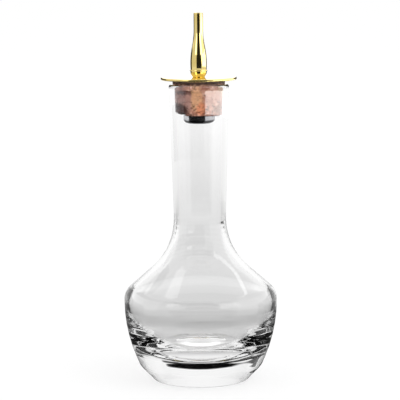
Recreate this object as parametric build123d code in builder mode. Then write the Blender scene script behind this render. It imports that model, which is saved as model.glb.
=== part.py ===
"""Bitters bottle: a thick glass bottle with a corked metal dasher top. Millimetres, +Z up, foot at z = 0."""
from build123d import *
from math import acos, cos, radians, sin, tan
import os

os.makedirs("parts", exist_ok=True)

# Glass bottle, outside
bottle_height = 116.7       # table to the top of the lip
foot_radius = 18.3          # flat that it stands on
foot_reach = 0.6            # how far the rounding reaches from the foot's corner
heel_radius = 24.05         # top of the sloping heel
heel_height = 5.9
heel_reach = 1.35
belly_radius = 30.05        # widest part of the body
belly_height = 19.9         # where the flared lower body would meet the upright wall
belly_reach = 11.7
shoulder_height = 35.05     # where the upright wall would meet the shoulder
shoulder_reach = 2.9
neck_root_radius = 9.87     # where the shoulder would meet the neck
neck_root_height = 52.7
neck_root_reach = 12.3
lip_radius = 11.75
punt_radius = 12.5          # shallow dome under the foot
punt_height = 2.5
punt_edge = 2.0

# Glass bottle, inside
base_thickness = 8.3        # glass between the dome and the cavity
floor_radius = 9.5          # flat middle of the cavity's floor
floor_reach = 5.6
bowl_radius = 21.3          # where the shallow floor would meet the bowl's steep side
bowl_height = 14.2
bowl_reach = 5.4
cavity_wall_height = 24.6   # where the bowl would meet the cavity's upright wall
cavity_wall_reach = 5.7
body_wall = 2.1
neck_wall = 1.95            # at the root of the neck
mouth_radius = 9.65         # bore at the lip
run_share = 0.98            # most of a straight run that its two roundings may take

# Cork
cork_stand = 1.7            # cork standing above the lip
cork_depth = 12.2           # cork inside the neck
cork_bulge = 0.72           # how far the head stands out over the squeezed part
cork_edge = 0.5             # worn lower edge
cork_fit = 0.12             # clearance between the cork and the neck

# Metal top
plate_radius = 14.8
plate_thickness = 1.0
plate_edge = 0.35
collar_height = 2.9
collar_seat_radius = 2.3
collar_radius = 3.25
bead_radius = 3.5
bead_height = 0.35
spout_height = 22.1
spout_foot_radius = 3.12
spout_belly_radius = 3.2
spout_belly_height = 2.2    # above the spout's foot
spout_tip_radius = 1.8
spout_tip_length = 6.0      # straight part at the tip
spout_tip_edge = 0.15
outlet_radius = 1.0         # the liquid's way through tube and spout
stem_radius = 1.75
stem_grip = 5.0             # thread inside the spout
nut_corner_radius = 6.2     # hex nut, over its corners
nut_height = 3.0
nut_turn = -8.0             # how the nut stands, in degrees
nut_dome_radius = 2.8       # rounding of the lower end
nut_dome_reach = 2.4        # how far it reaches in from the corners
stem_inset = 0.3            # the tube ends this far inside the nut's face
thread_fit = 0.05           # clearance round the tube, which stands for the thread

# Levels
floor_level = punt_height + base_thickness
plate_level = bottle_height + cork_stand
collar_level = plate_level + plate_thickness
spout_level = collar_level + collar_height
stem_top = spout_level + stem_grip
cork_bottom = bottle_height - cork_depth
nut_bottom = cork_bottom - nut_height
tube_hole_radius = stem_radius + thread_fit


def arc_radius(before, corner, after, reach):
    """Radius of the arc that leaves the first line, and joins the second, one reach from their corner."""
    turn = (corner - before).get_angle(after - corner)
    return reach / tan(radians(turn / 2))


def arc_radii(points, reaches):
    """One arc radius for each inner corner of an outline; arcs that would meet shrink to share their run."""
    both = [0, *reaches, 0]
    runs = [(end - start).length for start, end in zip(points, points[1:])]
    crowding = [max(1, (first + last) / (run_share * run)) for first, last, run in zip(both, both[1:], runs)]
    fitted = [reach / max(pair) for reach, *pair in zip(reaches, crowding, crowding[1:])]
    corners = zip(points, points[1:], points[2:], fitted)
    return [arc_radius(before, corner, after, reach) for before, corner, after, reach in corners]


def inside_corner(before, corner, after, wall):
    """The corner that lies one wall inside an outer corner, for an outline that runs up the outside."""
    arrive = (corner - before).normalized()
    leave = (after - corner).normalized()
    inward = (Vector(-arrive.Y, arrive.X) + Vector(-leave.Y, leave.X)).normalized()
    return corner + inward * (wall / cos(radians(arrive.get_angle(leave) / 2)))


# Outline of the glass: radius and height of each corner
lip_round = (lip_radius - mouth_radius) / 2
lip_base = bottle_height - lip_round
shoulder_corner = Vector(belly_radius, shoulder_height)
neck_corner = Vector(neck_root_radius, neck_root_height)
outer_points = [
    Vector(punt_radius, 0),
    Vector(foot_radius, 0),
    Vector(heel_radius, heel_height),
    Vector(belly_radius, belly_height),
    shoulder_corner,
    neck_corner,
    Vector(lip_radius, lip_base),
]
outer_reaches = [foot_reach, heel_reach, belly_reach, shoulder_reach, neck_root_reach]

inner_neck_corner = inside_corner(shoulder_corner, neck_corner, outer_points[-1], neck_wall)
inner_points = [
    Vector(0, floor_level),
    Vector(floor_radius, floor_level),
    Vector(bowl_radius, bowl_height),
    Vector(belly_radius - body_wall, cavity_wall_height),
    inside_corner(outer_points[3], shoulder_corner, neck_corner, body_wall),
    inner_neck_corner,
    Vector(mouth_radius, lip_base),
]
inner_reaches = [floor_reach, bowl_reach, cavity_wall_reach, shoulder_reach, neck_root_reach]


def bore_radius_at(height):
    """Radius of the neck's straight bore at a height."""
    share = (height - inner_neck_corner.Y) / (lip_base - inner_neck_corner.Y)
    return inner_neck_corner.X + share * (mouth_radius - inner_neck_corner.X)


# Bottle: one revolved wall
with BuildPart() as bottle:
    with BuildSketch(Plane.XZ):
        with BuildLine():
            TangentArc((0, punt_height), outer_points[0], tangent=(1, 0))
            FilletPolyline(*outer_points, radius=arc_radii(outer_points, outer_reaches))
            FilletPolyline(*inner_points, radius=arc_radii(inner_points, inner_reaches))
            lip_top = ((lip_radius + mouth_radius) / 2, bottle_height)
            ThreePointArc(outer_points[-1], lip_top, inner_points[-1])
            Line(inner_points[0], (0, punt_height))
        make_face()
        punt_rim = vertices().sort_by_distance(outer_points[0])[0]
        fillet(punt_rim, radius=punt_edge)
    revolve(axis=Axis.Z)
bottle.part.label = "bottle"
export_step(bottle.part, "parts/bottle.step")

# Cork: squeezed to the bore inside the neck, rolling out round the lip to its head
cork_bottom_radius = bore_radius_at(cork_bottom) - cork_fit
cork_mouth_radius = mouth_radius - cork_fit
roll_radius = lip_round + cork_fit
roll_turn = acos(1 - cork_bulge / roll_radius)


def roll_point(turn):
    """Point of the cork's roll round the lip, after a turn from the mouth."""
    return (mouth_radius + lip_round - roll_radius * cos(turn), lip_base + roll_radius * sin(turn))


with BuildPart() as cork:
    with BuildSketch(Plane.XZ):
        with BuildLine():
            ThreePointArc(roll_point(0), roll_point(roll_turn / 2), roll_point(roll_turn))
            Polyline(
                roll_point(roll_turn),
                (cork_mouth_radius + cork_bulge, plate_level),
                (tube_hole_radius, plate_level),
                (tube_hole_radius, cork_bottom),
                (cork_bottom_radius - cork_edge, cork_bottom),
                (cork_bottom_radius, cork_bottom + cork_edge),
                roll_point(0),
            )
        make_face()
    revolve(axis=Axis.Z)
cork.part.label = "cork"
export_step(cork.part, "parts/cork.step")

# Flange plate: disc on the cork, with both rim edges rounded
with BuildPart() as flange_plate:
    with BuildSketch(Plane.XY.offset(plate_level)):
        Circle(plate_radius)
        Circle(tube_hole_radius, mode=Mode.SUBTRACT)
    extrude(amount=plate_thickness)
    rims = flange_plate.edges().filter_by(GeomType.CIRCLE).sort_by(SortBy.RADIUS)[-2:]
    fillet(rims, radius=plate_edge)
flange_plate.part.label = "flange_plate"
export_step(flange_plate.part, "parts/flange_plate.step")

# Spout collar: cup-shaped underside and a fine bead at the seam
bead_level = spout_level - bead_height
with BuildPart() as spout_foot:
    with BuildSketch(Plane.XZ):
        with BuildLine():
            cup = TangentArc(
                (collar_radius, bead_level),
                (collar_seat_radius, collar_level),
                tangent=(0, -1),
            )
            Polyline(
                cup @ 1,
                (tube_hole_radius, collar_level),
                (tube_hole_radius, spout_level),
                (bead_radius - bead_height / 2, spout_level),
            )
            ThreePointArc(
                (bead_radius - bead_height / 2, spout_level),
                (bead_radius, spout_level - bead_height / 2),
                (bead_radius - bead_height / 2, bead_level),
            )
            Line((bead_radius - bead_height / 2, bead_level), cup @ 0)
        make_face()
    revolve(axis=Axis.Z)
spout_foot.part.label = "spout_foot"
export_step(spout_foot.part, "parts/spout_foot.step")

# Spout: swelling foot, two tangent arcs down to a straight tip, socket for the tube and a fine outlet
spout_top = spout_level + spout_height
taper_start = spout_level + spout_belly_height
taper_end = spout_top - spout_tip_length
with BuildPart() as spout_nozzle:
    with BuildSketch(Plane.XZ):
        with BuildLine():
            swell = ThreePointArc(
                (spout_foot_radius, spout_level),
                ((3 * spout_belly_radius + spout_foot_radius) / 4, (taper_start + spout_level) / 2),
                (spout_belly_radius, taper_start),
            )
            middle = ((spout_belly_radius + spout_tip_radius) / 2, (taper_start + taper_end) / 2)
            bulge = TangentArc(swell @ 1, middle, tangent=(0, 1))
            hollow = TangentArc(bulge @ 1, (spout_tip_radius, taper_end), tangent=bulge % 1)
            Polyline(
                hollow @ 1,
                (spout_tip_radius, spout_top - spout_tip_edge),
                (spout_tip_radius - spout_tip_edge, spout_top),
                (outlet_radius, spout_top),
                (outlet_radius, stem_top),
                (tube_hole_radius, stem_top),
                (tube_hole_radius, spout_level),
                swell @ 0,
            )
        make_face()
    revolve(axis=Axis.Z)
spout_nozzle.part.label = "spout_nozzle"
export_step(spout_nozzle.part, "parts/spout_nozzle.step")

# Stem tube: carries the liquid and clamps the stack, from inside the nut to the spout's socket
stem_bottom = nut_bottom + stem_inset
with BuildPart() as stem_tube:
    with BuildSketch(Plane.XY.offset(stem_bottom)):
        Circle(stem_radius)
        Circle(outlet_radius, mode=Mode.SUBTRACT)
    extrude(amount=stem_top - stem_bottom)
stem_tube.part.label = "stem_tube"
export_step(stem_tube.part, "parts/stem_tube.step")

# Clamp nut: hex nut whose lower end is turned to a dome, which cuts the corners of its flats
nut_face_radius = nut_corner_radius - nut_dome_reach
with BuildPart() as clamp_nut:
    with BuildSketch(Plane.XY.offset(nut_bottom)):
        RegularPolygon(nut_corner_radius, side_count=6, rotation=nut_turn)
        Circle(tube_hole_radius, mode=Mode.SUBTRACT)
    extrude(amount=nut_height)
    with BuildSketch(Plane.XZ):
        with BuildLine():
            dome = JernArc((nut_face_radius, nut_bottom), (1, 0), radius=nut_dome_radius, arc_size=90)
            Polyline(
                dome @ 1,
                ((dome @ 1).X, cork_bottom),
                (0, cork_bottom),
                (0, nut_bottom),
                dome @ 0,
            )
        make_face()
    revolve(axis=Axis.Z, mode=Mode.INTERSECT)
clamp_nut.part.label = "clamp_nut"
export_step(clamp_nut.part, "parts/clamp_nut.step")
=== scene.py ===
"""The looks of a bitters bottle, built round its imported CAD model. Metres, +Z up, foot at z = 0."""
import logging
import math
from dataclasses import dataclass
from enum import Enum
from typing import Callable, Optional, Sequence

import bpy
from mathutils import Euler, Matrix, Quaternion, Vector, noise


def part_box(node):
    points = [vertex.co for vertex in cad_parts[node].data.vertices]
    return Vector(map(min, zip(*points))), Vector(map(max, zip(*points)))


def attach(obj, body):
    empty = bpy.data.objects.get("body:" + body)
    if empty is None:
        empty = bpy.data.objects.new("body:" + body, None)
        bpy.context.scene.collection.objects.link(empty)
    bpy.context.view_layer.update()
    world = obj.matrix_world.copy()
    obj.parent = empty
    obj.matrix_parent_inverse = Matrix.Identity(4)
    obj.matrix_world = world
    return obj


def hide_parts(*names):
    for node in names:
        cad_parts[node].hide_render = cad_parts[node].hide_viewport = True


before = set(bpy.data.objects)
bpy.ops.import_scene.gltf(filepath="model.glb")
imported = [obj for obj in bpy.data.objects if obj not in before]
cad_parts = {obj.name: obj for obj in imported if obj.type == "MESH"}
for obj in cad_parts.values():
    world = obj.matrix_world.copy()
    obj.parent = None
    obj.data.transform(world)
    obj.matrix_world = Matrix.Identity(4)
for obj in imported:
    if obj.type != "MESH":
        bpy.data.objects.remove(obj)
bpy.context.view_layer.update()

LOG = logging.getLogger("bitters_bottle")
MM = 0.001
NOT_YET = 0.5  # a ray's depth of a kind is below this until its first bounce of that kind
SOLID_CROSSINGS = 2.5  # a ray through solid glass alone crosses two faces, one through the cavity more

Point = tuple[float, float]
Colour = tuple[float, float, float, float]
Relief = Callable[[float, float, float], float]


class Body(Enum):
    """The rigid bodies of the part."""

    BOTTLE = "bottle"
    STOPPER = "stopper"
    DASHER = "dasher"


class Slot(Enum):
    """The record's material slots."""

    GLASS = "glass"
    CORK = "cork"
    GOLD = "gold_metal"
    STEEL = "steel"


class SeenBy(Enum):
    """Which rays meet a card: mirrored ones, ones through the glass, or ones through solid glass alone."""

    MIRRORED = "mirrored"
    THROUGH_GLASS = "through_glass"
    THROUGH_BASE = "through_base"


def linear(srgb: str) -> Colour:
    """Turn an sRGB hex colour into Blender's linear colour.

    Args:
        srgb: six hex digits.

    Returns:
        Linear red, green and blue, and an alpha of 1.
    """
    channels = [int(srgb[start:start + 2], 16) / 255 for start in (0, 2, 4)]
    red, green, blue = [c / 12.92 if c <= 0.04045 else ((c + 0.055) / 1.055) ** 2.4 for c in channels]
    return red, green, blue, 1.0


def grey(level: float) -> Colour:
    """A linear grey, where 1 is white."""
    return level, level, level, 1.0


def span_of(node: str) -> Point:
    """The lowest and highest level of a CAD node, in millimetres."""
    low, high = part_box(node)
    return low.z / MM, high.z / MM


def add_object(name: str, data: bpy.types.ID) -> bpy.types.Object:
    """Add an object with its data to the scene.

    Args:
        name: the object's name.
        data: its mesh, camera or lamp.

    Returns:
        The object.
    """
    added = bpy.data.objects.new(name, data)
    bpy.context.scene.collection.objects.link(added)
    return added


def add_node(tree: bpy.types.NodeTree, kind: str, settings: Optional[dict] = None,
             **inputs) -> bpy.types.Node:
    """Add a node with its settings and its inputs' values or links.

    Args:
        tree: the tree that gets the node.
        kind: Blender's name for the kind of node.
        settings: the node's own properties.
        inputs: an input's name in lower case with underscores, or its number after an underscore, to a
            value or to another node's output.

    Returns:
        The new node.
    """
    node = tree.nodes.new(kind)
    for name, value in (settings or {}).items():
        setattr(node, name, value)
    for name, value in inputs.items():
        if name[0] == "_":
            socket = node.inputs[int(name[1:])]
        else:
            socket = next(s for s in node.inputs if s.name.lower().replace(" ", "_") == name)
        if isinstance(value, bpy.types.NodeSocket):
            tree.links.new(value, socket)
        else:
            socket.default_value = value
    return node


def set_ramp(node: bpy.types.Node, stops: Sequence[tuple[float, Colour]]) -> bpy.types.NodeSocket:
    """Give a colour ramp its stops.

    Args:
        node: the Color Ramp node.
        stops: place along the ramp and colour of each stop, in order.

    Returns:
        The ramp's colour output.
    """
    elements = node.color_ramp.elements
    while len(elements) < len(stops):
        elements.new(1.0)
    for element, (place, colour) in zip(elements, stops):
        element.position = place
        element.color = colour
    return node.outputs["Color"]


def new_material(name: str) -> tuple[bpy.types.Material, bpy.types.NodeTree]:
    """Make a material with an empty node tree.

    Args:
        name: what the real material is.

    Returns:
        The material and its tree.
    """
    material = bpy.data.materials.new(name)
    material.use_nodes = True
    material.node_tree.nodes.clear()
    return material, material.node_tree


def finish_material(tree: bpy.types.NodeTree, shader: bpy.types.NodeSocket) -> None:
    """Join a shader to the material's output."""
    add_node(tree, "ShaderNodeOutputMaterial", surface=shader)


@dataclass(frozen=True)
class Corner:
    """A corner of an outline: radius, height, and how far its rounding reaches along both sides, in mm."""

    radius: float
    height: float
    reach: float = 0.0

    @property
    def place(self) -> Vector:
        """The corner as a point of the outline's plane."""
        return Vector((self.radius, self.height))


def arc(centre: Vector, start: Vector, turn: float, step: float = math.radians(5)) -> list[Point]:
    """Points along an arc.

    Args:
        centre: centre of the arc.
        start: its first point.
        turn: signed turn in radians, anticlockwise when positive.
        step: largest turn between two points.

    Returns:
        The arc's points, both ends included.
    """
    count = max(2, math.ceil(abs(turn) / step))
    spoke = start - centre
    points = []
    for index in range(count + 1):
        angle = turn * index / count
        cos, sin = math.cos(angle), math.sin(angle)
        points.append((centre.x + spoke.x * cos - spoke.y * sin, centre.y + spoke.x * sin + spoke.y * cos))
    return points


def rounded(corners: Sequence[Corner]) -> list[Point]:
    """Join corners by straight runs, and round each inner corner that has a reach.

    Args:
        corners: the outline's corners, in order.

    Returns:
        The outline's points.
    """
    points = [tuple(corners[0].place)]
    for before, corner, after in zip(corners, corners[1:], corners[2:]):
        arrive = (corner.place - before.place).normalized()
        leave = (after.place - corner.place).normalized()
        turn = math.atan2(arrive.x * leave.y - arrive.y * leave.x, arrive.dot(leave))
        if corner.reach == 0 or abs(turn) < 1e-4:
            points.append(tuple(corner.place))
            continue
        start = corner.place - arrive * corner.reach
        radius = corner.reach / math.tan(turn / 2)
        centre = start + Vector((-arrive.y, arrive.x)) * radius
        points += arc(centre, start, turn)
    points.append(tuple(corners[-1].place))
    return points


def s_curve(start: Vector, end: Vector) -> list[Point]:
    """Two equal tangent arcs between two points, upright at both ends.

    Args:
        start: lower end.
        end: upper end, at a smaller radius.

    Returns:
        The curve's points, both ends included.
    """
    middle = (start + end) / 2
    shift, rise = start.x - end.x, end.y - start.y
    radius = (rise * rise + shift * shift) / (4 * shift)
    turn = 2 * math.atan2(shift, rise)
    fine = math.radians(0.5)
    lower = arc(start - Vector((radius, 0)), start, turn, fine)
    upper = arc(end + Vector((radius, 0)), middle, -turn, fine)
    return lower + upper[1:]


def spaced(outline: Sequence[Point], longest: float) -> list[Point]:
    """Divide an outline's long runs.

    Args:
        outline: the outline's points.
        longest: longest run that stays whole, in mm.

    Returns:
        The points with the added ones.
    """
    points = [outline[0]]
    for target in outline[1:]:
        start, end = Vector(points[-1]), Vector(target)
        length = (end - start).length
        if length < 1e-5:
            continue
        count = math.ceil(length / longest)
        points += [tuple(start.lerp(end, index / count)) for index in range(1, count + 1)]
    return points


def inward_normals(outline: Sequence[Point], closed: bool) -> list[Vector]:
    """For each point of an outline, the unit direction into the material.

    Args:
        outline: points that run up the outside, with the material on their left.
        closed: whether the last point joins the first.

    Returns:
        One direction for each point.
    """
    count = len(outline)
    normals = []
    for index in range(count):
        before = outline[index - 1] if closed or index else outline[0]
        after = outline[(index + 1) % count] if closed or index < count - 1 else outline[-1]
        run = (Vector(after) - Vector(before)).normalized()
        normals.append(Vector((-run.y, run.x)))
    return normals


def lathe(name: str, outline: Sequence[Point], material: bpy.types.Material, segments: int = 256,
          relief: Optional[Relief] = None, crease: float = 35.0) -> bpy.types.Object:
    """Turn an outline about Z into a closed mesh.

    Args:
        name: the piece's name.
        outline: radius and height of each point in mm, with the material on the left of its run. It ends
            on the axis at both ends, or closes on itself.
        material: the piece's finish.
        segments: number of steps round the axis.
        relief: gives, from angle, radius and height, how far a point sinks into the material, in mm.
        crease: angle in degrees past which an edge shades as sharp.

    Returns:
        The mesh object.
    """
    on_axis = outline[0][0] < 1e-6
    normals = inward_normals(outline, not on_axis)
    vertices: list[tuple[float, float, float]] = []
    rings: list[list[int]] = []
    for (radius, height), normal in zip(outline, normals):
        ring = []
        for step in range(1 if radius < 1e-6 else segments):
            angle = 2 * math.pi * step / segments
            sunk = relief(angle, radius, height) if relief else 0.0
            at_radius = radius + normal.x * sunk if radius > 1e-6 else 0.0
            at_height = height + normal.y * sunk
            ring.append(len(vertices))
            vertices.append((at_radius * math.cos(angle) * MM, at_radius * math.sin(angle) * MM,
                             at_height * MM))
        rings.append(ring)
    pairs = list(zip(rings, rings[1:]))
    if not on_axis:
        pairs.append((rings[-1], rings[0]))
    faces = []
    for lower, upper in pairs:
        for step in range(segments):
            after = (step + 1) % segments
            face = [lower[step % len(lower)], lower[after % len(lower)], upper[after % len(upper)],
                    upper[step % len(upper)]]
            faces.append(list(dict.fromkeys(face)))
    mesh = bpy.data.meshes.new(name)
    mesh.from_pydata(vertices, [], faces)
    mesh.polygons.foreach_set("use_smooth", [True] * len(faces))
    mesh.set_sharp_from_angle(angle=math.radians(crease))
    mesh.materials.append(material)
    return add_object(name, mesh)


def put_in_place(piece: bpy.types.Object, body: Body, node: str) -> None:
    """Let a piece stand for its CAD node and ride on the node's body.

    Args:
        piece: the finished mesh.
        body: the body that it moves with.
        node: the CAD node that it stands for.
    """
    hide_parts(node)
    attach(piece, body.value)
    LOG.info("%s stands for %s on %s, %d faces", piece.name, node, body.value, len(piece.data.polygons))


@dataclass(frozen=True)
class FlintGlass:
    """Clear soda-lime glass, mould-blown and fire-polished: colourless, with a mirror-smooth skin."""

    ior: float = 1.5
    tint: str = "FFFFFF"

    def build(self) -> bpy.types.Material:
        """Make the glass material.

        Returns:
            The material.
        """
        material, tree = new_material("flint_glass")
        shader = add_node(tree, "ShaderNodeBsdfPrincipled", base_color=linear(self.tint), roughness=0.0,
                          ior=self.ior, transmission_weight=1.0)
        finish_material(tree, shader.outputs["BSDF"])
        return material


@dataclass(frozen=True)
class Stain:
    """A patch on the cork: its centre across and above the table, its half sizes in mm, and its colour."""

    across: float
    height: float
    half_width: float
    half_height: float
    colour: str
    strength: float = 1.0


@dataclass(frozen=True)
class NaturalCork:
    """Punched natural cork, swollen and stained by use: matt, with dark pores, cracks and red-brown blots,
    and with painted shade under the disc, along the lower edge and on the left side.

    Heights are above the table, in mm. The pores, grain and cracks are as fine as on real stopper cork.
    """

    pale: str = "E6BBA6"
    middle: str = "C48A72"
    deep: str = "7A4238"
    crack: str = "30100C"
    # Colour of the real pores and cracks, and of the painted shade along the lower edge.
    pit_and_edge_shade: str = "2A1512"
    # Painted shade under the disc: the top of the cork turns dark brown above a ragged height.
    painted_disc_shade: str = "20120C"
    painted_disc_shade_from: float = 116.9
    painted_disc_shade_fade: float = 0.9
    painted_disc_shade_ragged: float = 1.2
    cracked_from: float = 110.5
    cracked_full: float = 108.0
    grain_mm: float = 2.0
    crack_mm: float = 1.2
    pore_mm: float = 0.25
    pore_depth_mm: float = 0.05
    warp_mm: float = 0.9
    warp_grain_mm: float = 1.6
    roughness: float = 0.85
    stains: tuple[Stain, ...] = (
        # The first stain darkens the left side and greys it towards mauve: painted shade, with a painted
        # reflection of the glass's haze over it.
        Stain(-7.5, 109.0, 4.0, 7.5, "7A504E", 0.7),
        Stain(-7.2, 107.2, 3.2, 2.4, "3A100C", 0.9),
        Stain(-4.6, 114.0, 4.6, 0.8, "4A1E1A", 0.9),
        Stain(-3.6, 110.5, 1.6, 3.2, "C0958A", 0.7),
        Stain(-0.8, 111.5, 2.2, 4.6, "E8B286", 0.85),
        Stain(0.9, 107.6, 1.9, 2.6, "F09A70", 0.8),
        Stain(6.6, 107.2, 1.2, 1.6, "9A6A50", 0.8),
        Stain(8.0, 114.6, 1.2, 1.4, "C09A78", 0.8),
    )

    def build(self) -> bpy.types.Material:
        """Make the cork material.

        Returns:
            The material.
        """
        material, tree = new_material("natural_cork")
        place = add_node(tree, "ShaderNodeTexCoord").outputs["Object"]
        grain = add_node(tree, "ShaderNodeTexNoise", vector=place, scale=1 / (self.grain_mm * MM),
                         detail=8.0, roughness=0.68)
        colour = set_ramp(add_node(tree, "ShaderNodeValToRGB", fac=grain.outputs["Fac"]),
                          [(0.33, linear(self.deep)), (0.5, linear(self.middle)), (0.64, linear(self.pale))])
        warp = add_node(tree, "ShaderNodeTexNoise", vector=place, scale=1 / (self.warp_grain_mm * MM),
                        detail=3.0)
        warped = add_node(tree, "ShaderNodeVectorMath", {"operation": "MULTIPLY_ADD"},
                          _0=warp.outputs["Color"], _1=(2 * self.warp_mm * MM,) * 3, _2=place)
        for stain in self.stains:
            middle = Vector((stain.across, 0, stain.height)) + Vector((self.warp_mm, 0, self.warp_mm))
            off = add_node(tree, "ShaderNodeVectorMath", {"operation": "SUBTRACT"}, _0=warped.outputs[0],
                           _1=middle * MM)
            spread = add_node(tree, "ShaderNodeVectorMath", {"operation": "MULTIPLY"}, _0=off.outputs[0],
                              _1=(1 / (stain.half_width * MM), 0, 1 / (stain.half_height * MM)))
            away = add_node(tree, "ShaderNodeVectorMath", {"operation": "LENGTH"}, _0=spread.outputs[0])
            mask = add_node(tree, "ShaderNodeMapRange", {"interpolation_type": "SMOOTHSTEP"},
                            value=away.outputs["Value"], from_min=1.25, from_max=0.75, to_max=stain.strength)
            colour = add_node(tree, "ShaderNodeMix", {"data_type": "RGBA"}, _0=mask.outputs[0], _6=colour,
                              _7=linear(stain.colour)).outputs[2]
        cells = add_node(tree, "ShaderNodeTexVoronoi", {"feature": "DISTANCE_TO_EDGE"},
                         vector=warped.outputs[0], scale=1 / (self.crack_mm * MM))
        lines = add_node(tree, "ShaderNodeMapRange", value=cells.outputs["Distance"], from_min=0.02,
                         from_max=0.12, to_min=1.0, to_max=0.0)
        some = add_node(tree, "ShaderNodeMapRange", value=warp.outputs["Fac"], from_min=0.44, from_max=0.58)
        level = add_node(tree, "ShaderNodeSeparateXYZ", vector=place).outputs[2]
        low = add_node(tree, "ShaderNodeMapRange", value=level, from_min=self.cracked_from * MM,
                       from_max=self.cracked_full * MM, to_min=0.2, to_max=0.95)
        cracks = lines.outputs[0]
        for share in (some, low):
            cracks = add_node(tree, "ShaderNodeMath", {"operation": "MULTIPLY"}, _0=cracks,
                              _1=share.outputs[0]).outputs[0]
        # Painted shade under the disc: the cork darkens towards its top, where the disc shadows it.
        ragged = add_node(tree, "ShaderNodeMath", {"operation": "MULTIPLY_ADD"}, _0=warp.outputs["Fac"],
                          _1=self.painted_disc_shade_ragged * MM, _2=level)
        painted_disc_shade = add_node(tree, "ShaderNodeMapRange", value=ragged.outputs[0],
                          from_min=self.painted_disc_shade_from * MM,
                          from_max=(self.painted_disc_shade_from + self.painted_disc_shade_fade) * MM, to_max=0.93)
        # The point attribute darkens the real pores and cracks, and paints shade along the lower edge.
        pits = add_node(tree, "ShaderNodeAttribute", {"attribute_name": "pit_and_edge_shade"}).outputs["Fac"]
        for mask, tone in ((cracks, self.crack), (painted_disc_shade.outputs[0], self.painted_disc_shade), (pits, self.pit_and_edge_shade)):
            colour = add_node(tree, "ShaderNodeMix", {"data_type": "RGBA"}, _0=mask, _6=colour,
                              _7=linear(tone)).outputs[2]
        pores = add_node(tree, "ShaderNodeTexVoronoi", vector=place, scale=1 / (self.pore_mm * MM))
        bump = add_node(tree, "ShaderNodeBump", height=pores.outputs["Distance"], strength=0.5,
                        distance=self.pore_depth_mm * MM)
        shader = add_node(tree, "ShaderNodeBsdfPrincipled", base_color=colour, roughness=self.roughness,
                          normal=bump.outputs[0])
        finish_material(tree, shader.outputs["BSDF"])
        return material


@dataclass(frozen=True)
class PlatedMetal:
    """A turned and buffed fitting: mirror-bright, with faint lathe rings, handling marks and, where a piece
    marks it, a painted dark reflection.

    Real lathe marks are too fine to show in the render, so the rings are drawn as coarse as they need to be.
    """

    name: str
    colour: str
    worn: str
    roughness: float
    painted_dark_reflection: str = "232326"
    ring_mm: float = 0.12
    ring_depth_mm: float = 0.01
    smudge_mm: float = 4.0

    def build(self) -> bpy.types.Material:
        """Make the metal material.

        Returns:
            The material.
        """
        material, tree = new_material(self.name)
        place = add_node(tree, "ShaderNodeTexCoord").outputs["Object"]
        smudge = add_node(tree, "ShaderNodeTexNoise", vector=place, scale=1 / (self.smudge_mm * MM),
                          detail=4.0)
        colour = set_ramp(add_node(tree, "ShaderNodeValToRGB", fac=smudge.outputs["Fac"]),
                          [(0.4, linear(self.colour)), (0.72, linear(self.worn))])
        # Where a piece marks it, the colour turns near-black: a painted dark reflection.
        dark_reflection_mask = add_node(tree, "ShaderNodeAttribute", {"attribute_name": "painted_dark_reflection"}).outputs["Fac"]
        colour = add_node(tree, "ShaderNodeMix", {"data_type": "RGBA"}, _0=dark_reflection_mask, _6=colour,
                          _7=linear(self.painted_dark_reflection)).outputs[2]
        rough = add_node(tree, "ShaderNodeMapRange", value=smudge.outputs["Fac"], from_min=0.35,
                         from_max=0.7, to_min=self.roughness * 0.7, to_max=self.roughness * 1.6)
        apart = add_node(tree, "ShaderNodeSeparateXYZ", vector=place)
        square = add_node(tree, "ShaderNodeMath", {"operation": "MULTIPLY"}, _0=apart.outputs[0],
                          _1=apart.outputs[0])
        squares = add_node(tree, "ShaderNodeMath", {"operation": "MULTIPLY_ADD"}, _0=apart.outputs[1],
                           _1=apart.outputs[1], _2=square.outputs[0])
        radius = add_node(tree, "ShaderNodeMath", {"operation": "SQRT"}, _0=squares.outputs[0])
        turned = add_node(tree, "ShaderNodeCombineXYZ", x=radius.outputs[0], y=apart.outputs[2])
        rings = add_node(tree, "ShaderNodeTexNoise", vector=turned.outputs[0], scale=1 / (self.ring_mm * MM),
                         detail=2.0)
        bump = add_node(tree, "ShaderNodeBump", height=rings.outputs["Fac"], strength=0.06,
                        distance=self.ring_depth_mm * MM)
        shader = add_node(tree, "ShaderNodeBsdfPrincipled", base_color=colour, metallic=1.0,
                          roughness=rough.outputs[0], normal=bump.outputs[0])
        finish_material(tree, shader.outputs["BSDF"])
        return material


GOLD_PLATE = PlatedMetal("gold_plated_brass", colour="F0DA90", worn="E6CC7C", roughness=0.07)
BRIGHT_STEEL = PlatedMetal("polished_stainless_steel", colour="C9C9CC", worn="B9B9BE", roughness=0.12)


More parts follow.
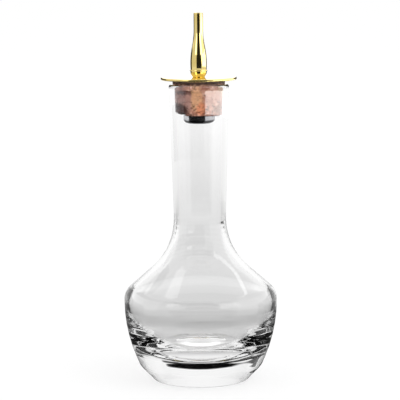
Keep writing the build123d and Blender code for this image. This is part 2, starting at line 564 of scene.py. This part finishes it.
@dataclass
class GlassBottle:
    """One thick piece of glass: a heavy base, a squat body and a long neck that widens to a rounded lip."""

    foot_radius: float = 18.3
    foot_reach: float = 0.6
    heel_radius: float = 24.05
    heel_height: float = 5.9
    heel_reach: float = 1.35
    belly_radius: float = 30.05
    belly_height: float = 19.9
    belly_reach: float = 11.7
    shoulder_height: float = 35.05
    shoulder_reach: float = 2.9
    neck_root_radius: float = 9.87
    neck_root_height: float = 52.7
    neck_root_reach: float = 12.3
    lip_radius: float = 11.75
    punt_radius: float = 12.5
    punt_height: float = 2.5
    punt_edge: float = 2.0
    mouth_radius: float = 9.65
    base_thickness: float = 8.3
    floor_radius: float = 9.5
    floor_reach: float = 5.6
    bowl_radius: float = 21.3
    bowl_height: float = 14.2
    bowl_reach: float = 5.4
    cavity_wall_height: float = 24.6
    cavity_wall_reach: float = 5.7
    body_wall: float = 2.1
    neck_wall: float = 1.95
    longest_run: float = 1.0

    def inside(self, before: Corner, corner: Corner, after: Corner, wall: float) -> Corner:
        """The corner of the cavity that lies one wall inside a corner of the outside.

        Args:
            before: the outside's corner below.
            corner: the outside's corner.
            after: the outside's corner above.
            wall: thickness of the glass.

        Returns:
            The inner corner, rounded with the same reach.
        """
        arrive = (corner.place - before.place).normalized()
        leave = (after.place - corner.place).normalized()
        inward = (Vector((-arrive.y, arrive.x)) + Vector((-leave.y, leave.x))).normalized()
        place = corner.place + inward * (wall / math.cos(arrive.angle(leave) / 2))
        return Corner(place.x, place.y, corner.reach)

    def punt(self) -> list[Corner]:
        """The shallow dome under the foot.

        Returns:
            Corners from the axis to the dome's rim, whose edge is rounded.
        """
        dome_radius = (self.punt_radius ** 2 + self.punt_height ** 2) / (2 * self.punt_height)
        turn = math.asin(self.punt_radius / dome_radius)
        centre = Vector((0, self.punt_height - dome_radius))
        dome = arc(centre, Vector((0, self.punt_height)), -turn, math.radians(1.5))
        return [*(Corner(*point) for point in dome[:-1]),
                Corner(self.punt_radius, 0, self.punt_edge * math.tan(turn / 2))]

    def outline(self) -> list[Point]:
        """The section of the glass, up the outside, over the lip and down the inside.

        Returns:
            Radius and height of each point in mm.
        """
        lip_round = (self.lip_radius - self.mouth_radius) / 2
        lip_base = span_of("bottle")[1] - lip_round
        side = [
            Corner(self.foot_radius, 0, self.foot_reach),
            Corner(self.heel_radius, self.heel_height, self.heel_reach),
            Corner(self.belly_radius, self.belly_height, self.belly_reach),
            Corner(self.belly_radius, self.shoulder_height, self.shoulder_reach),
            Corner(self.neck_root_radius, self.neck_root_height, self.neck_root_reach),
            Corner(self.lip_radius, lip_base),
        ]
        outer = self.punt() + side
        floor_level = self.punt_height + self.base_thickness
        inner = [
            Corner(0, floor_level),
            Corner(self.floor_radius, floor_level, self.floor_reach),
            Corner(self.bowl_radius, self.bowl_height, self.bowl_reach),
            Corner(self.belly_radius - self.body_wall, self.cavity_wall_height, self.cavity_wall_reach),
            self.inside(*side[2:5], self.body_wall),
            self.inside(*side[3:6], self.neck_wall),
            Corner(self.mouth_radius, lip_base),
        ]
        lip = arc(Vector((self.lip_radius - lip_round, lip_base)), outer[-1].place, math.pi, math.radians(8))
        return rounded(outer) + lip[1:-1] + rounded(inner)[::-1]

    def build(self) -> bpy.types.Object:
        """Build the bottle's glass.

        Returns:
            The glass piece.
        """
        outline = spaced(self.outline(), self.longest_run)
        piece = lathe("glass_bottle", outline, FlintGlass().build(), segments=320)
        put_in_place(piece, Body.BOTTLE, "bottle")
        return piece


@dataclass
class CorkStopper:
    """The tapered cork, squeezed in the neck, with a bulging head above the lip and a worn lower edge."""

    mouth_radius: float = 9.65
    lip_round: float = 1.05
    fit: float = 0.12
    bulge: float = 0.72
    bottom_radius: float = 9.22
    hole_radius: float = 1.8
    hole_rim: float = 0.3
    edge: float = 0.5
    # Width of the painted shade along the lower edge, where the cork meets the nut.
    painted_edge_shade_width: float = 1.0
    pit_and_edge_shade_shade: float = 1.6
    pits_per_mm: Point = (0.9, 1.8)
    pit_and_edge_shade_level: float = 0.28
    pit_and_edge_shade_fade: float = 0.3
    pit_and_edge_shade_depth: float = 0.35
    cracks_per_mm: Point = (0.35, 0.7)
    crack_width: float = 0.035
    crack_depth: float = 0.5
    grain_per_mm: float = 3.2
    grain_depth: float = 0.04
    chip_height: float = 1.2
    chip_middle: float = -150.0
    chip_half: float = 36.0
    chip_fade: float = 4.0
    chip_from_radius: float = 5.0
    chip_rise: float = 1.5
    ragged_depth: float = 0.22
    ragged_scale: float = 8
    longest_run: float = 0.22

    def wear(self, angle: float, radius: float, height: float) -> float:
        """How deep the cork is pitted at a point.

        Args:
            angle: angle round the axis.
            radius: radius in mm.
            height: height in mm.

        Returns:
            Depth in mm.
        """
        if radius < self.hole_radius + self.hole_rim:
            return 0.0
        point = Vector((radius * math.cos(angle), radius * math.sin(angle), height))
        across, up = self.pits_per_mm
        pores = noise.noise(Vector((point.x * across, point.y * across, point.z * up)))
        pits = max(0.0, pores - self.pit_and_edge_shade_level) / self.pit_and_edge_shade_fade
        across, up = self.cracks_per_mm
        lines = abs(noise.noise(Vector((point.x * across, point.y * across, point.z * up + 40))))
        cracks = max(0.0, self.crack_width - lines) / self.crack_width
        grain = 0.5 + 0.5 * noise.noise(point * self.grain_per_mm)
        return (self.pit_and_edge_shade_depth * min(1.0, pits) + self.crack_depth * cracks * grain
                + self.grain_depth * grain)

    def chip(self, angle: float, radius: float) -> float:
        """How far the lower end is broken away at a point: a ragged edge, deepest on one side.

        Args:
            angle: angle round the axis.
            radius: radius in mm.

        Returns:
            Height in mm.
        """
        off = abs((math.degrees(angle) - self.chip_middle + 180) % 360 - 180)
        share = min(1.0, max(0.0, 1.3 - off / self.chip_half) / 0.3)
        outward = min(1.0, max(0.0, (radius - self.chip_from_radius) / self.chip_rise))
        wide = self.ragged_scale
        ragged = noise.noise(Vector((math.cos(angle) * wide, math.sin(angle) * wide, 70)))
        return outward * (self.chip_height * share + self.ragged_depth * (1 + ragged))

    def outline(self) -> list[Point]:
        """The section of the cork, up the outside and down the tube's hole.

        Returns:
            Radius and height of each point in mm.
        """
        bottom, top = span_of("cork")
        lip_base = span_of("bottle")[1] - self.lip_round
        centre = Vector((self.mouth_radius + self.lip_round, lip_base))
        roll_start = Vector((self.mouth_radius - self.fit, lip_base))
        roll_turn = math.acos(1 - self.bulge / (self.lip_round + self.fit))
        roll = arc(centre, roll_start, -roll_turn)
        return [
            (self.hole_radius, bottom),
            (self.bottom_radius - self.edge, bottom),
            (self.bottom_radius, bottom + self.edge),
            *roll,
            (roll_start.x + self.bulge, top),
            (self.hole_radius, top),
        ]

    def build(self) -> bpy.types.Object:
        """Build the cork.

        Returns:
            The cork piece.
        """
        outline = spaced(self.outline() + [self.outline()[0]], self.longest_run)[:-1]
        piece = lathe("cork_stopper", outline, NaturalCork().build(), 300, self.wear, crease=60)
        deepest = self.pit_and_edge_shade_depth + self.crack_depth
        bottom = span_of("cork")[0]
        shades = []
        for vertex in piece.data.vertices:
            x, y, z = vertex.co / MM
            angle, radius = math.atan2(y, x), math.hypot(x, y)
            near_end = max(0.0, 1 - (z - bottom) / self.chip_fade)
            vertex.co.z += self.chip(angle, radius) * near_end * MM
            # Painted shade along the lower edge, where the cork meets the nut, is added to the pores'
            # darkness.
            at_edge = radius > self.bottom_radius - self.painted_edge_shade_width
            rim = max(0.0, 1 - (z - bottom) / self.edge) if at_edge else 0.0
            shades.append(min(1.0, self.pit_and_edge_shade_shade * self.wear(angle, radius, z) / deepest + rim))
        piece.data.attributes.new("pit_and_edge_shade", "FLOAT", "POINT").data.foreach_set("value", shades)
        put_in_place(piece, Body.STOPPER, "cork")
        return piece


@dataclass
class DasherTop:
    """The metal fittings: a disc on the cork, a collar, a tapered spout, a threaded tube and a hex nut."""

    plate_radius: float = 14.8
    plate_edge: float = 0.35
    hole_radius: float = 1.8
    collar_seat_radius: float = 2.3
    collar_radius: float = 3.25
    bead_radius: float = 3.5
    bead_height: float = 0.35
    spout_foot_radius: float = 3.12
    spout_belly_radius: float = 3.2
    spout_belly_height: float = 2.2
    spout_tip_radius: float = 1.8
    spout_tip_length: float = 6.0
    spout_tip_edge: float = 0.15
    outlet_radius: float = 1.0
    stem_radius: float = 1.75
    thread_pitch: float = 0.6
    thread_share: float = 0.3
    nut_corner_radius: float = 6.2
    nut_turn: float = -8.0
    nut_dome_radius: float = 2.8
    nut_dome_reach: float = 2.4
    # Height and fade of the nut's turned end painted near-black: a painted reflection of the dark below it.
    nut_dark_reflection_height: float = 1.5
    nut_dark_reflection_fade: float = 0.4
    nut_crease: float = 12.0

    def plate_outline(self) -> list[Point]:
        """The disc's section.

        Returns:
            Radius and height of each point in mm.
        """
        bottom, top = span_of("flange_plate")
        corners = [
            Corner(self.hole_radius, bottom),
            Corner(self.plate_radius, bottom, self.plate_edge),
            Corner(self.plate_radius, top, self.plate_edge),
            Corner(self.hole_radius, top),
        ]
        return rounded(corners)

    def collar_outline(self) -> list[Point]:
        """The collar's section: a cup under a fine bead.

        Returns:
            Radius and height of each point in mm.
        """
        bottom, top = span_of("spout_foot")
        bead_level = top - self.bead_height
        wide, deep = self.collar_radius - self.collar_seat_radius, bead_level - bottom
        cup_radius = (wide * wide + deep * deep) / (2 * wide)
        cup_turn = math.asin(deep / cup_radius)
        centre = Vector((self.collar_radius - cup_radius, bead_level))
        start = Vector((self.collar_seat_radius, bottom))
        cup = arc(centre, start, cup_turn, math.radians(3))
        bead_middle = Vector((self.bead_radius - self.bead_height / 2, bead_level + self.bead_height / 2))
        bead = arc(bead_middle, bead_middle - Vector((0, self.bead_height / 2)), math.pi, math.radians(15))
        return [(self.hole_radius, bottom), *cup, *bead, (self.hole_radius, top)]

    def spout_outline(self) -> list[Point]:
        """The spout's section, up the outside and down its bore.

        Returns:
            Radius and height of each point in mm.
        """
        bottom, top = span_of("spout_nozzle")
        taper_start = bottom + self.spout_belly_height
        taper_end = top - self.spout_tip_length
        taper = s_curve(Vector((self.spout_belly_radius, taper_start)),
                        Vector((self.spout_tip_radius, taper_end)))
        swell = (3 * self.spout_belly_radius + self.spout_foot_radius) / 4
        return [
            (self.hole_radius, bottom),
            (self.spout_foot_radius, bottom),
            (swell, (bottom + taper_start) / 2),
            *taper,
            (self.spout_tip_radius, top - self.spout_tip_edge),
            (self.spout_tip_radius - self.spout_tip_edge, top),
            (self.outlet_radius, top),
            (self.outlet_radius, span_of("stem_tube")[1]),
            (self.hole_radius, span_of("stem_tube")[1]),
        ]

    def stem_outline(self) -> list[Point]:
        """The tube's section.

        Returns:
            Radius and height of each point in mm.
        """
        bottom, top = span_of("stem_tube")
        return [(self.outlet_radius, bottom), (self.stem_radius, bottom), (self.stem_radius, top),
                (self.outlet_radius, top)]

    def thread(self, angle: float, radius: float, height: float) -> float:
        """Depth of the tube's thread at a point.

        Args:
            angle: angle round the axis.
            radius: radius in mm.
            height: height in mm.

        Returns:
            Depth in mm.
        """
        if radius < self.stem_radius - 0.01:
            return 0.0
        turns = height / self.thread_pitch - angle / (2 * math.pi)
        return self.thread_share * self.thread_pitch * abs(2 * (turns - math.floor(turns)) - 1)

    def nut_outline(self) -> list[Point]:
        """The section that the nut's turned end cuts, before its flats.

        Returns:
            Radius and height of each point in mm.
        """
        bottom, top = span_of("clamp_nut")
        face = Vector((self.nut_corner_radius - self.nut_dome_reach, bottom))
        dome = arc(face + Vector((0, self.nut_dome_radius)), face, math.pi / 2, math.radians(1))
        return [(self.hole_radius, bottom), *dome, (dome[-1][0], top), (self.hole_radius, top)]

    def cut_flats(self, nut: bpy.types.Object) -> None:
        """Press the nut's mesh in to its six flats, paint a dark reflection on its turned end, and turn it
        as it stands.

        Args:
            nut: the turned nut, whose mesh changes.
        """
        sixth = math.pi / 3
        flat_radius = self.nut_corner_radius * math.cos(sixth / 2)
        for vertex in nut.data.vertices:
            radius = math.hypot(vertex.co.x, vertex.co.y)
            past_corner = math.atan2(vertex.co.y, vertex.co.x) % sixth
            limit = flat_radius * MM / math.cos(past_corner - sixth / 2)
            if radius > limit:
                vertex.co.xy *= limit / radius
        # Painted dark reflection: the rounded lower end turns near-black, as it would mirror the dark below
        # the nut.
        edge = span_of("clamp_nut")[0] + self.nut_dark_reflection_height
        painted_dark_reflection = [min(1.0, max(0.0, (edge - vertex.co.z / MM) / self.nut_dark_reflection_fade))
                   for vertex in nut.data.vertices]
        nut.data.attributes.new("painted_dark_reflection", "FLOAT", "POINT").data.foreach_set("value", painted_dark_reflection)
        nut.data.transform(Matrix.Rotation(math.radians(self.nut_turn), 4, "Z"))
        nut.data.set_sharp_from_angle(angle=math.radians(self.nut_crease))

    def build(self) -> None:
        """Build the five metal fittings."""
        gold, steel = GOLD_PLATE.build(), BRIGHT_STEEL.build()
        plate = lathe("flange_disc", spaced(self.plate_outline(), 0.8), gold)
        collar = lathe("spout_collar", spaced(self.collar_outline(), 0.5), gold, 160)
        spout = lathe("tapered_spout", spaced(self.spout_outline(), 0.6), gold, 160)
        stem = lathe("threaded_stem", spaced(self.stem_outline(), 0.1), steel, 48, self.thread)
        nut = lathe("hex_nut", spaced(self.nut_outline(), 0.25), steel, 192)
        self.cut_flats(nut)
        for piece, node in ((plate, "flange_plate"), (collar, "spout_foot"), (spout, "spout_nozzle")):
            put_in_place(piece, Body.DASHER, node)
        for piece, node in ((stem, "stem_tube"), (nut, "clamp_nut")):
            put_in_place(piece, Body.DASHER, node)


@dataclass(frozen=True)
class Card:
    """A curved studio card round the bottle's axis, and how bright it looks.

    Azimuth 0 is the camera's side and 90 is +X, the camera's right. The azimuth of its middle and its width
    are in degrees; its lower and upper edge, above the table, and its distance from the axis are in mm. Its
    glow fades over the soft share of its width and height. Its upper edge rises away from azimuth 180 by its
    bow, in mm per squared degree. A turned card shows only in rays that a face of the glass has thrown back.
    """

    name: str
    azimuth: float
    wide: float
    low: float
    high: float
    level: float
    seen_by: SeenBy
    soft: float = 0.25
    distance: float = 1600.0
    bow: float = 0.0
    step: float = 2.0
    turned: bool = False

    def build(self) -> bpy.types.Object:
        """Build the card.

        Returns:
            The card.
        """
        count = math.ceil(self.wide / self.step)
        vertices, faces = [], []
        for index in range(count + 1):
            azimuth = self.azimuth + self.wide * (index / count - 0.5)
            around = math.radians(azimuth)
            x, y = self.distance * math.sin(around) * MM, -self.distance * math.cos(around) * MM
            high = self.high + self.bow * ((azimuth % 360) - 180) ** 2
            vertices += [(x, y, self.low * MM), (x, y, high * MM)]
        for index in range(count):
            faces.append((2 * index, 2 * index + 2, 2 * index + 3, 2 * index + 1))
        mesh = bpy.data.meshes.new(self.name)
        mesh.from_pydata(vertices, [], faces)
        across = mesh.uv_layers.new(name="across")
        for loop in mesh.loops:
            column, top = divmod(loop.vertex_index, 2)
            across.data[loop.index].uv = (column / count, top)
        mesh.materials.append(self.material())
        card = add_object(self.name, mesh)
        card.visible_camera = False
        card.visible_diffuse = False
        card.visible_shadow = False
        card.visible_glossy = self.seen_by is SeenBy.MIRRORED
        card.visible_transmission = self.seen_by is not SeenBy.MIRRORED
        return card

    def material(self) -> bpy.types.Material:
        """Make the card's glow, which fades at its edges.

        Returns:
            The material.
        """
        material, tree = new_material(self.name)
        place = add_node(tree, "ShaderNodeUVMap", {"uv_map": "across"}).outputs["UV"]
        from_middle = add_node(tree, "ShaderNodeVectorMath", {"operation": "SUBTRACT"}, _0=place,
                               _1=(0.5, 0.5, 0.0))
        size = add_node(tree, "ShaderNodeVectorMath", {"operation": "ABSOLUTE"}, _0=from_middle.outputs[0])
        apart = add_node(tree, "ShaderNodeSeparateXYZ", vector=size.outputs[0])
        fades = [
            add_node(tree, "ShaderNodeMapRange", {"interpolation_type": "SMOOTHSTEP"},
                     value=apart.outputs[axis], from_min=0.5, from_max=0.5 - self.soft).outputs[0]
            for axis in (0, 1)
        ]
        mask = add_node(tree, "ShaderNodeMath", {"operation": "MULTIPLY"}, _0=fades[0],
                        _1=fades[1]).outputs[0]
        rays = add_node(tree, "ShaderNodeLightPath").outputs
        limits = [("Diffuse Depth", "LESS_THAN", NOT_YET)]
        if self.seen_by is SeenBy.THROUGH_BASE:
            limits.append(("Transmission Depth", "LESS_THAN", SOLID_CROSSINGS))
        if self.turned:
            limits.append(("Glossy Depth", "GREATER_THAN", NOT_YET))
        for depth, comparison, limit in limits:
            met = add_node(tree, "ShaderNodeMath", {"operation": comparison}, _0=rays[depth], _1=limit)
            mask = add_node(tree, "ShaderNodeMath", {"operation": "MULTIPLY"}, _0=mask,
                            _1=met.outputs[0]).outputs[0]
        glow = add_node(tree, "ShaderNodeEmission", color=grey(1.0), strength=self.level)
        clear = add_node(tree, "ShaderNodeBsdfTransparent")
        mix = add_node(tree, "ShaderNodeMixShader", _0=mask, _1=clear.outputs[0], _2=glow.outputs[0])
        finish_material(tree, mix.outputs[0])
        return material


@dataclass(frozen=True)
class FloorPatch:
    """A painted pool of light, with a gain above 0, or painted shade, with a gain below 0, on the floor seen
    through the cavity: middle and half sizes in mm, gain.
    """

    middle: Point
    half: Point
    gain: float

    def factor(self, tree: bpy.types.NodeTree, position: bpy.types.NodeSocket) -> bpy.types.NodeSocket:
        """Make the factor that the patch puts on the floor's level.

        Args:
            tree: the floor's node tree.
            position: the shading point.

        Returns:
            The factor's output.
        """
        off = add_node(tree, "ShaderNodeVectorMath", {"operation": "SUBTRACT"}, _0=position,
                       _1=(self.middle[0] * MM, self.middle[1] * MM, 0))
        spread = add_node(tree, "ShaderNodeVectorMath", {"operation": "MULTIPLY"}, _0=off.outputs[0],
                          _1=(1 / (self.half[0] * MM), 1 / (self.half[1] * MM), 0))
        beside = add_node(tree, "ShaderNodeVectorMath", {"operation": "LENGTH"}, _0=spread.outputs[0])
        return add_node(tree, "ShaderNodeMapRange", {"interpolation_type": "SMOOTHSTEP"},
                        value=beside.outputs["Value"], from_min=0.6, from_max=1.1, to_min=1 + self.gain,
                        to_max=1.0).outputs[0]


@dataclass
class Studio:
    """The photograph's setting: camera, pale floor, white surround, a soft lamp and cards.

    The floor's levels are pairs of a distance from the axis in mm and a level: as seen through the cavity,
    as seen through solid glass alone, and as mirrored. Of the cards, a flag or dark room is dark, a baffle
    is as white as the surround and hides a bright card from the shoulder, and the others are bright.
    """

    camera_distance: float = 0.831
    camera_height: float = 0.175
    camera_pitch: float = -7.2
    camera_roll: float = 0.5
    focal_pixels: float = 2134.0
    frame_pixels: float = 400.0
    sensor: float = 36.0
    clip: Point = (0.01, 100.0)
    shift_pixels: Point = (0.2, 2.8)
    floor_level: float = -0.00015
    floor_half: float = 12.0
    light_level: float = 1.6
    shadow_share: float = 0.15
    paper_level: float = 0.9
    lamp_place: tuple[float, float, float] = (0.9, -0.7, 1.3)
    lamp_size: float = 0.9
    lamp_watts: float = 9.0
    bounces: int = 24
    glossy_bounces: int = 16
    floor_seen: tuple[Point, ...] = (
        (0.0, 0.7), (4.0, 0.7), (6.0, 1.0), (9.0, 1.04), (10.5, 0.7), (13.0, 0.53), (17.0, 0.56),
        (20.0, 0.61), (36.0, 0.58), (50.0, 0.5), (72.0, 0.52), (95.0, 0.59), (150.0, 0.665), (264.0, 0.73),
        (350.0, 0.76), (600.0, 0.81), (1080.0, 1.0))
    floor_under: tuple[Point, ...] = (
        (0.0, 0.85), (11.0, 0.92), (17.0, 0.6), (22.0, 0.6), (34.0, 0.78), (48.0, 0.78), (66.0, 0.62),
        (100.0, 0.66), (140.0, 0.95), (290.0, 0.93), (345.0, 0.8), (400.0, 0.68), (450.0, 0.66),
        (560.0, 0.85), (1080.0, 1.0))
    floor_mirrored: tuple[Point, ...] = (
        (0.0, 0.02), (60.0, 0.05), (140.0, 0.12), (190.0, 0.62), (600.0, 0.78), (1080.0, 1.0))
    patches: tuple[FloorPatch, ...] = (
        # Painted shade on the floor behind the bottle.
        FloorPatch((3.0, 43.0), (17.0, 15.0), -0.12),
        # A painted pool of light on the floor just in front of the bottle's axis.
        FloorPatch((0.0, -5.5), (17.0, 4.5), 0.65),
    )
    cards: tuple[Card, ...] = (
        Card("flag_front", 5.5, 72.0, 108.0, 142.0, 0.02, SeenBy.MIRRORED, 0.04, 90.0),
        Card("flag_neck_front", -14.7, 70.8, 75.0, 105.4, 0.02, SeenBy.MIRRORED, 0.03, 90.5),
        Card("flag_neck_left", -86.1, 77.0, 75.0, 100.0, 0.02, SeenBy.MIRRORED, 0.03, 90.6),
        Card("window_right", 81.5, 121.7, 94.0, 105.4, 8.0, SeenBy.MIRRORED, 0.04, 91.0),
        Card("baffle_right", 81.5, 132.0, 62.0, 96.5, 1.0, SeenBy.MIRRORED, 0.03, 62.0),
        Card("flag_front_far", 9.0, 68.0, 0.0, 1310.0, 0.02, SeenBy.MIRRORED, 0.06, 1600.0),
        Card("flag_back_left", -138.2, 61.6, 108.0, 142.0, 0.05, SeenBy.MIRRORED, 0.06, 90.1),
        Card("flag_back_right", 146.9, 46.2, 108.0, 142.0, 0.08, SeenBy.MIRRORED, 0.06, 90.1),
        Card("glow_back", 180.0, 36.0, 121.0, 260.0, 1.6, SeenBy.MIRRORED, 0.05, 125.0),
        Card("strip_right", 86.6, 72.0, 114.0, 142.0, 3.4, SeenBy.MIRRORED, 0.06, 90.2),
        Card("strip_left", -66.8, 79.2, 112.0, 142.0, 0.8, SeenBy.MIRRORED, 0.05, 90.3),
        Card("light_right", 76.0, 76.0, 0.0, 1310.0, 1.5, SeenBy.MIRRORED, 0.1, 1610.0),
        Card("light_left", -64.0, 70.0, 0.0, 1310.0, 0.75, SeenBy.MIRRORED, 0.1, 1610.0),
        Card("softbox_right", 45.0, 40.0, 20.0, 1250.0, 3.4, SeenBy.MIRRORED, 0.2, 1500.0),
        Card("softbox_left", -43.0, 28.0, 60.0, 2100.0, 2.8, SeenBy.MIRRORED, 0.2, 1500.0),
        Card("softbox_left_top", -98.0, 44.0, 2300.0, 4600.0, 2.8, SeenBy.MIRRORED, 0.2, 1500.0),
        Card("dark_room", -6.0, 138.0, 530.0, 1900.0, 0.02, SeenBy.THROUGH_GLASS, 0.06),
        Card("dark_room_low", -10.0, 124.0, 8.0, 140.0, 0.01, SeenBy.THROUGH_GLASS, 0.06, 350.0),
        Card("gap_back", -165.5, 59.0, 3.0, 24.8, 0.0, SeenBy.THROUGH_BASE, 0.03, 90.0, 0.0175),
        Card("flag_left", -112.0, 54.0, 0.3, 46.0, 0.0, SeenBy.THROUGH_BASE, 0.03, 90.0),
        Card("flag_right", 117.0, 64.0, 1.0, 50.0, 0.03, SeenBy.THROUGH_BASE, 0.04, 90.0, turned=True),
        Card("grey_back", 180.0, 48.0, 1000.0, 2200.0, 0.62, SeenBy.THROUGH_BASE, 0.06, turned=True),
    )

    def build_camera(self) -> None:
        """Build the camera at the photograph's viewing angle."""
        data = bpy.data.cameras.new("camera")
        data.sensor_width = self.sensor
        data.lens = self.focal_pixels * self.sensor / self.frame_pixels
        data.shift_x = self.shift_pixels[0] / self.frame_pixels
        data.shift_y = self.shift_pixels[1] / self.frame_pixels
        data.clip_start, data.clip_end = self.clip
        camera = add_object("camera", data)
        camera.location = (0, -self.camera_distance, self.camera_height)
        camera.rotation_mode = "QUATERNION"
        level = Euler((math.radians(90 + self.camera_pitch), 0, 0)).to_quaternion()
        camera.rotation_quaternion = level @ Quaternion((0, 0, 1), math.radians(-self.camera_roll))
        bpy.context.scene.camera = camera

    def build_floor(self) -> None:
        """Build the floor: white to the camera, and a pale grey sweep to rays that met the object."""
        material, tree = new_material("white_paper_sweep")
        position = add_node(tree, "ShaderNodeNewGeometry").outputs["Position"]
        away = add_node(tree, "ShaderNodeVectorMath", {"operation": "LENGTH"}, _0=position)
        widest = self.floor_seen[-1][0]
        reach = add_node(tree, "ShaderNodeMapRange", value=away.outputs["Value"], from_max=widest * MM)
        seen, under, mirrored = (
            set_ramp(add_node(tree, "ShaderNodeValToRGB", fac=reach.outputs[0]),
                     [(radius / widest, grey(level)) for radius, level in levels])
            for levels in (self.floor_seen, self.floor_under, self.floor_mirrored)
        )
        # The painted light and shade patches scale the floor's level as seen through the cavity.
        for patch in self.patches:
            seen = add_node(tree, "ShaderNodeVectorMath", {"operation": "SCALE"}, _0=seen,
                            scale=patch.factor(tree, position)).outputs[0]
        paper = add_node(tree, "ShaderNodeBsdfDiffuse", color=grey(self.paper_level))
        rays = add_node(tree, "ShaderNodeLightPath").outputs
        solid = add_node(tree, "ShaderNodeMath", {"operation": "LESS_THAN"}, _0=rays["Transmission Depth"],
                         _1=SOLID_CROSSINGS)
        through = add_node(tree, "ShaderNodeMix", {"data_type": "RGBA"}, _0=solid.outputs[0],
                           _6=seen, _7=under)
        sweep = add_node(tree, "ShaderNodeMix", {"data_type": "RGBA"}, _0=rays["Is Transmission Ray"],
                         _6=mirrored, _7=through.outputs[2])
        glow = add_node(tree, "ShaderNodeEmission", color=sweep.outputs[2], strength=1.0)
        gloss = add_node(tree, "ShaderNodeMath", {"operation": "MAXIMUM"}, _0=rays["Is Glossy Ray"],
                         _1=rays["Is Transmission Ray"])
        unscattered = add_node(tree, "ShaderNodeMath", {"operation": "LESS_THAN"}, _0=rays["Diffuse Depth"],
                               _1=NOT_YET)
        met = add_node(tree, "ShaderNodeMath", {"operation": "MULTIPLY"}, _0=gloss.outputs[0],
                       _1=unscattered.outputs[0])
        plain = add_node(tree, "ShaderNodeMixShader", _0=met.outputs[0], _1=paper.outputs[0],
                         _2=glow.outputs[0])
        shaded = add_node(tree, "ShaderNodeBsdfDiffuse", color=grey(self.shadow_share))
        white = add_node(tree, "ShaderNodeEmission", color=grey(1.0),
                         strength=1 - self.light_level * self.shadow_share)
        clean = add_node(tree, "ShaderNodeAddShader", _0=shaded.outputs[0], _1=white.outputs[0])
        mix = add_node(tree, "ShaderNodeMixShader", _0=rays["Is Camera Ray"], _1=plain.outputs[0],
                       _2=clean.outputs[0])
        finish_material(tree, mix.outputs[0])
        mesh = bpy.data.meshes.new("floor")
        half, level = self.floor_half, self.floor_level
        mesh.from_pydata([(-half, -half, level), (half, -half, level), (half, half, level),
                          (-half, half, level)], [], [(0, 1, 2, 3)])
        mesh.materials.append(material)
        floor = add_object("floor", mesh)

    def build_surround(self) -> None:
        """Build the white surround, brighter as a light, so that a colour renders about as it is written."""
        world = bpy.data.worlds.new("white_surround")
        world.use_nodes = True
        tree = world.node_tree
        tree.nodes.clear()
        rays = add_node(tree, "ShaderNodeLightPath").outputs
        seen = rays["Is Camera Ray"]
        for kind in ("Is Glossy Ray", "Is Transmission Ray"):
            seen = add_node(tree, "ShaderNodeMath", {"operation": "MAXIMUM"}, _0=seen,
                            _1=rays[kind]).outputs[0]
        unscattered = add_node(tree, "ShaderNodeMath", {"operation": "LESS_THAN"}, _0=rays["Diffuse Depth"],
                               _1=NOT_YET)
        met = add_node(tree, "ShaderNodeMath", {"operation": "MULTIPLY"}, _0=seen, _1=unscattered.outputs[0])
        level = add_node(tree, "ShaderNodeMapRange", value=met.outputs[0], to_min=self.light_level)
        back = add_node(tree, "ShaderNodeBackground", color=grey(1.0), strength=level.outputs[0])
        add_node(tree, "ShaderNodeOutputWorld", surface=back.outputs[0])
        bpy.context.scene.world = world

    def build_lamp(self) -> None:
        """Build the large soft lamp above and to the right."""
        data = bpy.data.lights.new("soft_lamp", "AREA")
        data.size = self.lamp_size
        data.energy = self.lamp_watts
        lamp = add_object("soft_lamp", data)
        lamp.location = self.lamp_place
        lamp.rotation_mode = "QUATERNION"
        lamp.rotation_quaternion = lamp.location.to_track_quat("Z", "Y")
        lamp.visible_glossy = False
        lamp.visible_transmission = False

    def build(self) -> None:
        """Build the whole studio."""
        scene = bpy.context.scene
        scene.view_settings.view_transform = "Standard"
        scene.cycles.max_bounces = self.bounces
        scene.cycles.transmission_bounces = self.bounces
        scene.cycles.glossy_bounces = self.glossy_bounces
        self.build_camera()
        self.build_floor()
        self.build_surround()
        self.build_lamp()
        for card in self.cards:
            card.build()
        LOG.info("studio has %d cards", len(self.cards))


def main() -> None:
    """Build the bottle, its stopper and the studio."""
    logging.basicConfig(level=logging.INFO, format="%(name)s: %(message)s")
    GlassBottle().build()
    CorkStopper().build()
    DasherTop().build()
    Studio().build()


if __name__ == "__main__":
    main()
